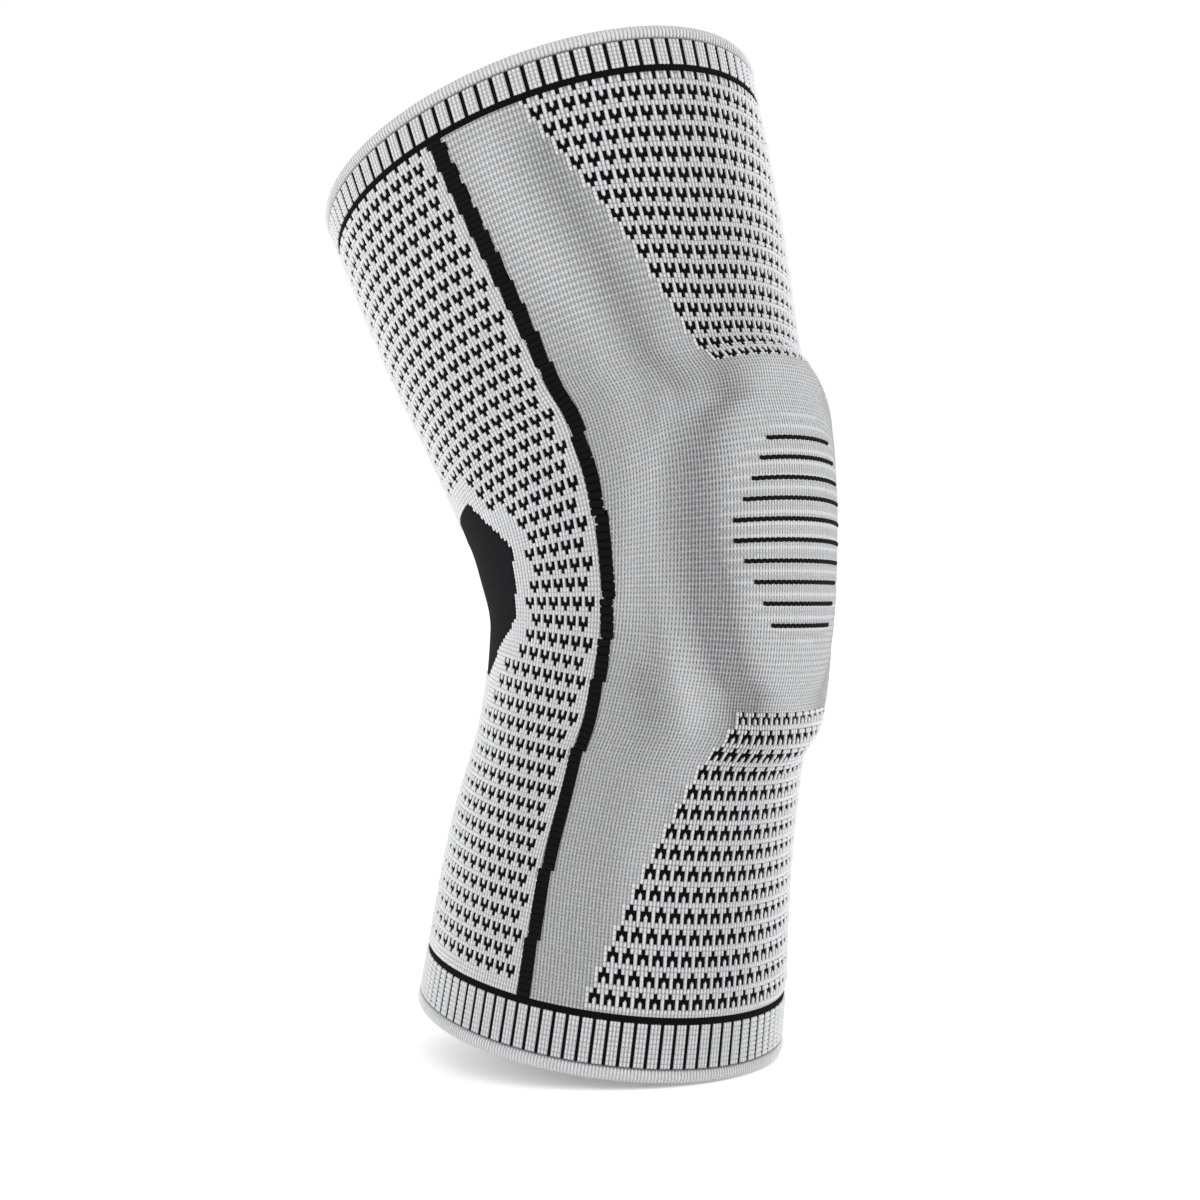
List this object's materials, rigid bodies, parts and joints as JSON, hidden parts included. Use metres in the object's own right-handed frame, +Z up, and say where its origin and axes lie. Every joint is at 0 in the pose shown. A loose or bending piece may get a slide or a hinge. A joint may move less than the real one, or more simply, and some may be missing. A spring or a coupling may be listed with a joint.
{
  "type": "knee sleeve",
  "caption": "Knitted compression knee sleeve held open as on a slightly bent leg, with a padded kneecap, striped cuffs, rolled hems and a dark panel behind the knee.",
  "frame": {"origin": "middle of the knee, on the sleeve's middle line inside the hollow", "axes": "+Z up the leg from calf to thigh, -Y to the front where the kneecap is, X from side to side"},
  "size_m": [0.1312, 0.1801, 0.316],
  "materials": {
    "body_knit": "knitted, light grey with a black figure",
    "cuff_knit": "knitted, light grey with black stripes",
    "hem_knit": "knitted, rolled, light grey",
    "panel_knit": "fine knitted, charcoal",
    "pad_gel": "soft gel, satin"
  },
  "bodies": {
    "root": {"sleeve_body": "body_knit", "popliteal_panel": "panel_knit", "thigh_cuff": "cuff_knit", "calf_cuff": "cuff_knit", "thigh_hem": "hem_knit", "calf_hem": "hem_knit", "patella_pad": "pad_gel"}
  },
  "joints": []
}
